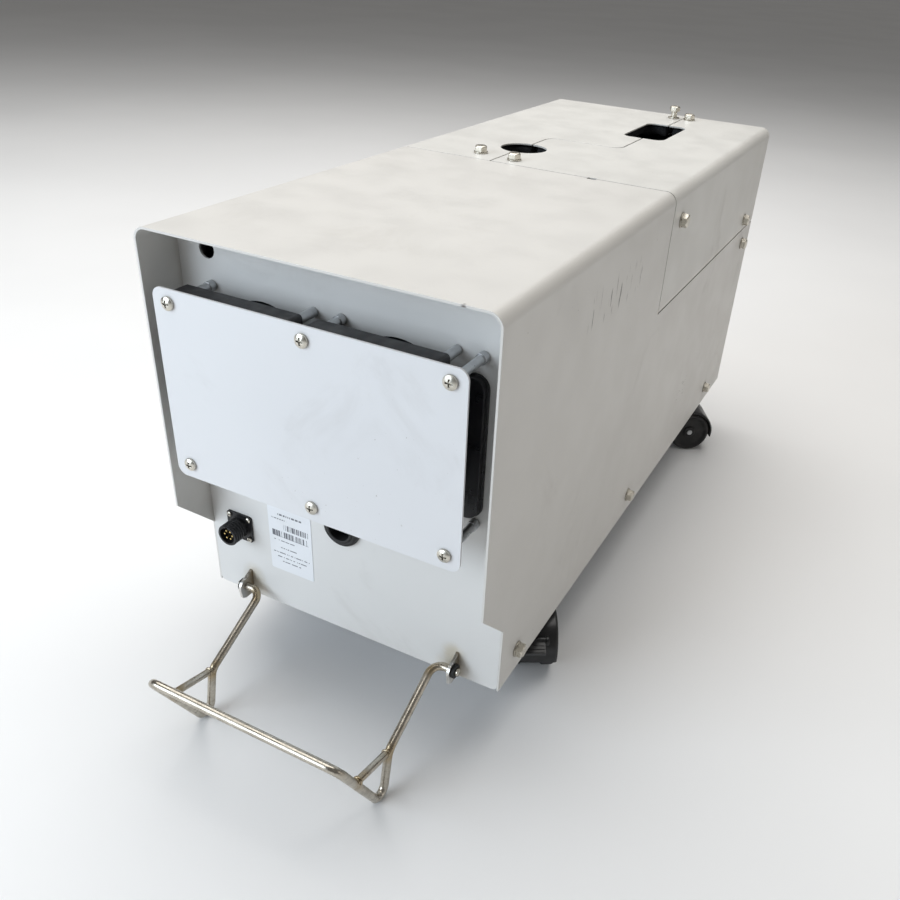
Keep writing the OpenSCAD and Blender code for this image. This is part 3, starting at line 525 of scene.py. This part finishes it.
# ---------------------------------------------------------------- fan rotors
def make_rotor(side):
    """A hub with seven swept blades."""
    centre = at(FAN_X[side], FAN_FRONT, FAN_Z)
    bm = bmesh.new()
    hub = [(3.2, 8.7), (28.5, 8.7), (30.2, 9.4), (31, 11), (31, 20.8), (30.3, 22.4), (28.6, 23), (9, 23), (8, 22.3), (3.2, 22.3)]
    turned(bm, hub, 64, (0, 1, 0), centre)
    for k in range(7):
        blade = bmesh.ops.create_grid(bm, x_segments=10, y_segments=8, size=0.5)["verts"]
        for v in blade:
            out, along = v.co.x + 0.5, v.co.y + 0.5
            r = 29.5 + 24.2 * out
            turn = math.radians(360 / 7 * k + 34 * along + 9 * out * out - 5 * math.sin(math.pi * along))
            v.co = centre + Vector((r * math.cos(turn), 10.2 + (11.6 - 1.6 * out) * along + 0.6 * out, r * math.sin(turn))) / 1000
        skin = list({face for v in blade for face in v.link_faces})
        bmesh.ops.recalc_face_normals(bm, faces=skin)
        bmesh.ops.solidify(bm, geom=skin, thickness=0.0014)
    set_piece(f"rotor_{side}", bm, "rotor_black", f"fan_{side}", (f"fan_rotor_{side}",), sharp=40)


for side in FAN_X:
    make_rotor(side)


# ---------------------------------------------------------------- wire bail
def make_bail():
    """One rod bent from ear to ear, with a welded strut in each side."""
    half = [(129, 34, PIVOT_Z), (BAIL_X, 34, PIVOT_Z), (BAIL_X, -45, 47), (BAIL_X, -56.9, -12.25), (BAIL_X, -119, 96)]
    bends = [12, 14, 9, 13]
    way = [at(*c) for c in half] + [at(-x, y, z) for x, y, z in reversed(half)]
    bm = bmesh.new()
    bent_rod(bm, way, bends + bends[::-1], 4, sides=28)
    for s in (1, -1):
        low, high = at(s * BAIL_X, -45, 47), at(s * BAIL_X, -98.1, 59.6)
        along = (high - low).normalized()
        bent_rod(bm, [low + along * 0.0015, high], [], 3.55, sides=24)
        bead(bm, low + along * 0.0046, along, 3.5, 1.15, seed=s)
        bead(bm, high - along * 0.0052, along, 3.5, 1.25, seed=s + 5)
    set_piece("bail_rod", bm, "bail_steel", "bail", ("bail",), sharp=50)


make_bail()


# ---------------------------------------------------------------- casters
def drum_side(profile):
    """A profile of (radius, half width) mirrored to both sides of the middle."""
    return [(r, -w) for r, w in profile] + [(r, w) for r, w in reversed(profile)]


def make_caster(corner):
    x, y, heading = CASTERS[corner]
    place = Matrix.Translation(at(x, y, 0)) @ Matrix.Rotation(math.radians(heading), 4, "Z")
    axle = Vector((0, TRAIL, WHEEL_R)) / 1000
    across = Vector((1, 0, 0))
    slope = math.radians(9.9)
    front = Vector((0, math.cos(slope), -math.sin(slope)))
    turn = math.pi + 2 * slope

    bm = bmesh.new()
    # guard over both wheels, with round shoulders and a rim on each side
    guard = [(32.1, 25.2), (32.5, 25.9), (33.4, 26), (34.2, 25.3), (34.8, 23.9), (35, 22), (35, 12)]
    inner = [(32.1, -25.2), (32.1, 25.2)]
    shell = [(r, w) for r, w in guard] + [(r, -w) for r, w in reversed(guard)]
    turned(bm, shell, 60, across, axle, angle=turn, side=front)
    web = [(4.1, -9.6), (24.6, -9.6), (25, -9.2), (25, 9.2), (24.6, 9.6), (4.1, 9.6)]
    turned(bm, web, 64, across, axle)
    arch = [(20, -9.9), (32.6, -9.9), (32.6, 9.9), (20, 9.9)]
    turned(bm, arch, 60, across, axle, angle=turn, side=front)
    hub = [(5.6, 38), (9.6, 38), (10.2, 38.6), (10.2, 64.6), (9.5, 65.5), (5.6, 65.5)]
    turned(bm, hub, 48, (0, 0, 1), Vector((0, 0, 0)))
    block = bmesh.ops.create_cube(bm, size=1)["verts"]
    bmesh.ops.scale(bm, vec=Vector((0.0198, 0.022, 0.0262)), verts=block)
    bmesh.ops.translate(bm, vec=Vector((0, 0.011, 0.0509)), verts=block)
    edges = list({e for v in block for e in v.link_edges})
    bmesh.ops.bevel(bm, geom=edges, offset=0.0008, affect="EDGES", segments=2, profile=0.5, material=-1)
    if corner in ("fl", "fr"):
        lug = Vector((0, 55.5, 54)) / 1000
        for s in (13, -13):
            turned(bm, [(0.4, s - 1.7), (4.6, s - 1.7), (5, s - 1.3), (5, s + 1.3), (4.6, s + 1.7), (0.4, s + 1.7)], 40, across, lug)
            arm = bmesh.ops.create_cube(bm, size=1)["verts"]
            bmesh.ops.scale(bm, vec=Vector((0.0034, 0.0075, 0.0095)), verts=arm)
            lean = math.atan2(54 - WHEEL_R, 55.5 - TRAIL)
            bmesh.ops.rotate(bm, matrix=Matrix.Rotation(lean, 3, "X"), verts=arm)
            bmesh.ops.translate(bm, vec=axle + Vector((s / 1000, math.cos(lean) * 0.0365, math.sin(lean) * 0.0365)), verts=arm)
        turned(bm, [(0.3, -13.9), (2.5, -13.9), (2.5, 13.9), (0.3, 13.9)], 24, across, lug)
    bmesh.ops.transform(bm, matrix=place, verts=bm.verts)
    set_piece(f"caster_hood_{corner}", bm, "nylon", f"caster_{corner}", (f"caster_fork_{corner}",), sharp=42)

    bm = bmesh.new()
    tread = [(4, 10.7), (27.6, 10.7), (28.8, 10.95), (29.6, 11.7), (29.95, 13), (30, 15), (30, 20.5), (29.9, 22.3), (29.3, 23.8),
             (28.2, 24.7), (27, 24.9), (25.8, 24.6), (25, 23.8), (23.6, 22.3), (22.4, 21.6), (21, 21.4), (10, 21.4),
             (9.2, 21.8), (8.8, 23), (8.2, 24.2), (7.4, 24.5), (4, 24.5)]
    turned(bm, tread, 72, across, axle)
    turned(bm, [(r, -w) for r, w in tread], 72, across, axle)
    bmesh.ops.transform(bm, matrix=place, verts=bm.verts)
    set_piece(f"wheel_pair_{corner}", bm, "tread", f"wheels_{corner}", (f"caster_wheels_{corner}",), sharp=50)
    eased(f"caster_axle_{corner}", "zinc", 0.5)


for corner in CASTERS:
    make_caster(corner)
for corner in ("fl", "fr"):
    eased(f"brake_pedal_{corner}", "nylon", 0.45, over=35)


# ---------------------------------------------------------------- foam lining
def make_foam(node, deep_axis, tuck):
    """Convoluted acoustic foam: the pad's own outline, with soft edges and rows of low peaks on the open face."""
    bm = merged_copy(node)
    bmesh.ops.triangulate(bm, faces=bm.faces)
    mesh = bpy.data.meshes.new(f"{node}_pad")
    bm.to_mesh(mesh)
    bm.free()
    pad = bpy.data.objects.new(f"{node}_pad", mesh)
    bpy.context.scene.collection.objects.link(pad)
    cells = pad.modifiers.new("cells", "REMESH")
    cells.mode = "VOXEL"
    cells.voxel_size = 0.005
    done = bpy.data.meshes.new_from_object(pad.evaluated_get(bpy.context.evaluated_depsgraph_get()))
    bpy.data.objects.remove(pad)
    bm = bmesh.new()
    bm.from_mesh(done)
    bmesh.ops.smooth_vert(bm, verts=bm.verts, factor=0.5, use_axis_x=True, use_axis_y=True, use_axis_z=True)
    bm.normal_update()
    for v in bm.verts:
        a, b = [v.co[i] for i in range(3) if i != deep_axis[0]] if len(deep_axis) == 1 else (v.co.x + v.co.z, v.co.y)
        peaks = 0.5 + 0.5 * math.sin(a * 2 * math.pi / 0.034) * math.sin(b * 2 * math.pi / 0.034)
        v.co -= v.normal * (0.0004 + tuck * peaks + 0.0004 * noise.noise(v.co * 60))
    bmesh.ops.recalc_face_normals(bm, faces=bm.faces)
    pad = set_piece(f"{node}_lining", bm, "foam", BODY_OF[node], (node,), sharp=60, level=False)


for node, axis in (("foam_hood", (0, 2)), ("foam_cover_left", (0, 2)), ("foam_cover_right", (0, 2)), ("foam_rear", (1,))):
    make_foam(node, axis, 0.0022)

# ---------------------------------------------------------------- camera, floor and lights
def place_camera():
    """Camera high on the right of the fan end, turned a little about its own axis."""
    azimuth, height, roll = math.radians(24.794), math.radians(32.276), math.radians(3.907)
    back = Vector((math.sin(azimuth) * math.cos(height), -math.cos(azimuth) * math.cos(height), math.sin(height)))
    level = (-back).cross(Vector((0, 0, 1))).normalized()
    upright = level.cross(-back)
    right = math.cos(roll) * level + math.sin(roll) * upright
    up = math.cos(roll) * upright - math.sin(roll) * level
    data = bpy.data.cameras.new("view")
    data.sensor_width = 36
    data.lens = 35.226
    data.shift_x = -0.0444
    data.shift_y = 0.0389
    data.clip_end = 60
    camera = bpy.data.objects.new("view", data)
    turn = Matrix((right, up, back)).transposed().to_4x4()
    camera.matrix_world = Matrix.Translation(at(394.09, -501.15, 674.68)) @ turn
    bpy.context.scene.collection.objects.link(camera)
    bpy.context.scene.camera = camera


def soft_light(name, place, aim, size, watts, tone):
    data = bpy.data.lights.new(name, "AREA")
    data.shape = "RECTANGLE"
    data.size, data.size_y = size
    data.energy = watts
    data.color = tone
    lamp = bpy.data.objects.new(name, data)
    lamp.location = place
    lamp.rotation_euler = (Vector(place) - Vector(aim)).to_track_quat("Z", "Y").to_euler()
    bpy.context.scene.collection.objects.link(lamp)


def lay_floor():
    bm = bmesh.new()
    bmesh.ops.create_grid(bm, x_segments=4, y_segments=4, size=30)
    mesh = bpy.data.meshes.new("floor")
    bm.to_mesh(mesh)
    bm.free()
    floor = bpy.data.objects.new("floor", mesh)
    floor.location.z = -0.0005
    bpy.context.scene.collection.objects.link(floor)
    f = Finish("floor_paper", roughness=0.8, specular=0.2)
    f.colour(f.blend(f.spread(f.noise(1.5, 3), 0.3, 0.7), (0.86, 0.86, 0.86), (0.83, 0.83, 0.83)))
    mesh.materials.append(f.material)


place_camera()
lay_floor()
soft_light("overhead", (-0.5, 0.6, 2.7), (0, 0.05, 0.3), (3.4, 3.4), 92, (1.0, 0.985, 0.96))
soft_light("front_window", (-1.6, -2.6, 1.2), (0, -0.3, 0.3), (2.4, 1.8), 70, (0.80, 0.90, 1.0))
soft_light("right_fill", (3.2, 0.6, 1.0), (0, 0, 0.25), (2.0, 1.4), 7, (1.0, 0.95, 0.88))
world = bpy.data.worlds.new("room")
world.use_nodes = True
world.node_tree.nodes["Background"].inputs["Color"].default_value = (1.0, 0.98, 0.95, 1)
world.node_tree.nodes["Background"].inputs["Strength"].default_value = 0.18
bpy.context.scene.world = world
bpy.context.scene.view_settings.view_transform = "Standard"
